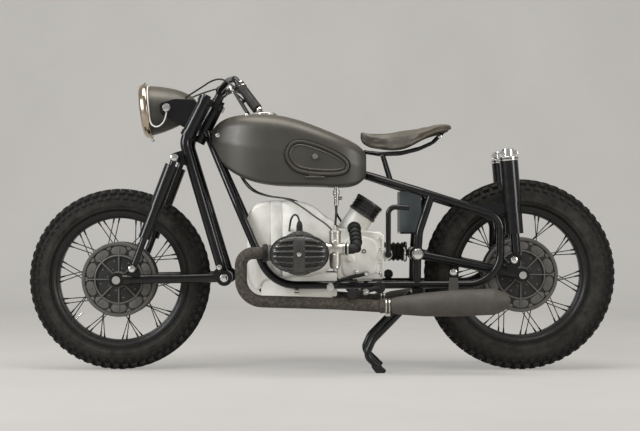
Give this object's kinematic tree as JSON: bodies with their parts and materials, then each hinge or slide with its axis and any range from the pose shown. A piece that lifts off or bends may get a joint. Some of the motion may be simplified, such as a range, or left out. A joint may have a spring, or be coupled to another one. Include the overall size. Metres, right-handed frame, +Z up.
{
  "type": "flat-twin motorcycle with a leading-link fork",
  "caption": "Motorcycle with a horizontally opposed engine open to view, leading-link fork, shaft drive, knobbly tyres, solo saddle and centre stand.",
  "frame": {"origin": "on the floor, below the middle of the wheelbase", "axes": "faces -X, left side -Y, +Z up"},
  "size_m": [2.072, 0.6838, 1.0204],
  "materials": {
    "tyre": "knobbed rubber, dusty",
    "wheel_black": "satin black",
    "frame_black": "gloss black",
    "engine_alloy": "bead-blasted",
    "fin_black": "satin black with bright edges",
    "bright_metal": "polished",
    "steel": "satin",
    "tank_paint": "satin dark brown",
    "leather": "worn olive brown",
    "exhaust_wrap": "mottled wrap",
    "muffler_black": "matte dark brown",
    "soft_black": "matte",
    "lamp_glass": "fluted",
    "battery_grey": "satin grey",
    "cable_black": "satin cable sheath",
    "pale_wire": "pale sheath",
    "handlebar_black": "gloss black"
  },
  "bodies": {
    "chassis": {"main_frame": "frame_black", "shock_towers": "frame_black", "rear_shocks": "frame_black", "rear_swingarm": "frame_black", "final_drive": "frame_black", "drive_gaiter": "soft_black", "rear_axle": "steel", "crankcase": "engine_alloy", "front_engine_cover": "engine_alloy", "oil_sump": "engine_alloy", "gearbox": "engine_alloy", "cylinders": "fin_black", "cylinder_heads": "engine_alloy", "rocker_covers": "fin_black", "carburettors": "engine_alloy", "intake_hoses": "soft_black", "air_filter": "fin_black", "exhaust_pipes": "exhaust_wrap", "mufflers": "muffler_black", "fuel_tank": "tank_paint", "fuel_cap": "bright_metal", "seat": "leather", "seat_frame": "frame_black", "battery_box": "battery_grey", "footpegs": "soft_black", "gear_lever": "frame_black", "kick_starter": "steel", "brake_pedal": "frame_black", "fuel_taps": "steel", "throttle_cable_left": "cable_black", "throttle_cable_right": "cable_black", "fuel_hose_left": "cable_black", "fuel_hose_right": "cable_black", "plug_lead_left": "cable_black", "plug_lead_right": "cable_black"},
    "steering": {"top_yoke": "frame_black", "lower_yoke": "frame_black", "fork_legs": "frame_black", "front_swingarm": "frame_black", "front_shocks": "frame_black", "front_axle": "steel", "headlight_shell": "tank_paint", "headlight_rim": "bright_metal", "headlight_lens": "lamp_glass", "headlight_ears": "frame_black", "handlebar": "handlebar_black", "grips": "soft_black", "control_levers": "steel", "clutch_cable": "cable_black", "front_brake_cable": "cable_black", "headlight_wire": "pale_wire"},
    "front_wheel": {"front_tyre": "tyre", "front_rim": "wheel_black", "front_hub": "wheel_black"},
    "rear_wheel": {"rear_tyre": "tyre", "rear_rim": "wheel_black", "rear_hub": "wheel_black"},
    "centre_stand": {"centre_stand": "frame_black"},
    "toolbox_lid": {"toolbox_lid": "tank_paint"}
  },
  "joints": [
    {"name": "steering", "type": "hinge", "parent": "chassis", "child": "steering", "pos_m": [-0.3803, 0, 0.9266], "axis": [0.4478, 0, 0.8942], "range_deg": [-33, 33]},
    {"name": "front_wheel_spin", "type": "hinge", "parent": "steering", "child": "front_wheel", "pos_m": [-0.716, 0, 0.32], "axis": [0, 1, 0], "continuous": true},
    {"name": "rear_wheel_spin", "type": "hinge", "parent": "chassis", "child": "rear_wheel", "pos_m": [0.699, 0, 0.337], "axis": [0, 1, 0], "continuous": true},
    {"name": "stand_fold", "type": "hinge", "parent": "chassis", "child": "centre_stand", "pos_m": [0.331, 0, 0.271], "axis": [0, -1, 0], "range_deg": [0, 105]},
    {"name": "toolbox_lid_hinge", "type": "hinge", "parent": "chassis", "child": "toolbox_lid", "pos_m": [-0.026, -0.1505, 0.677], "axis": [1, 0, 0], "range_deg": [0, 80]}
  ]
}
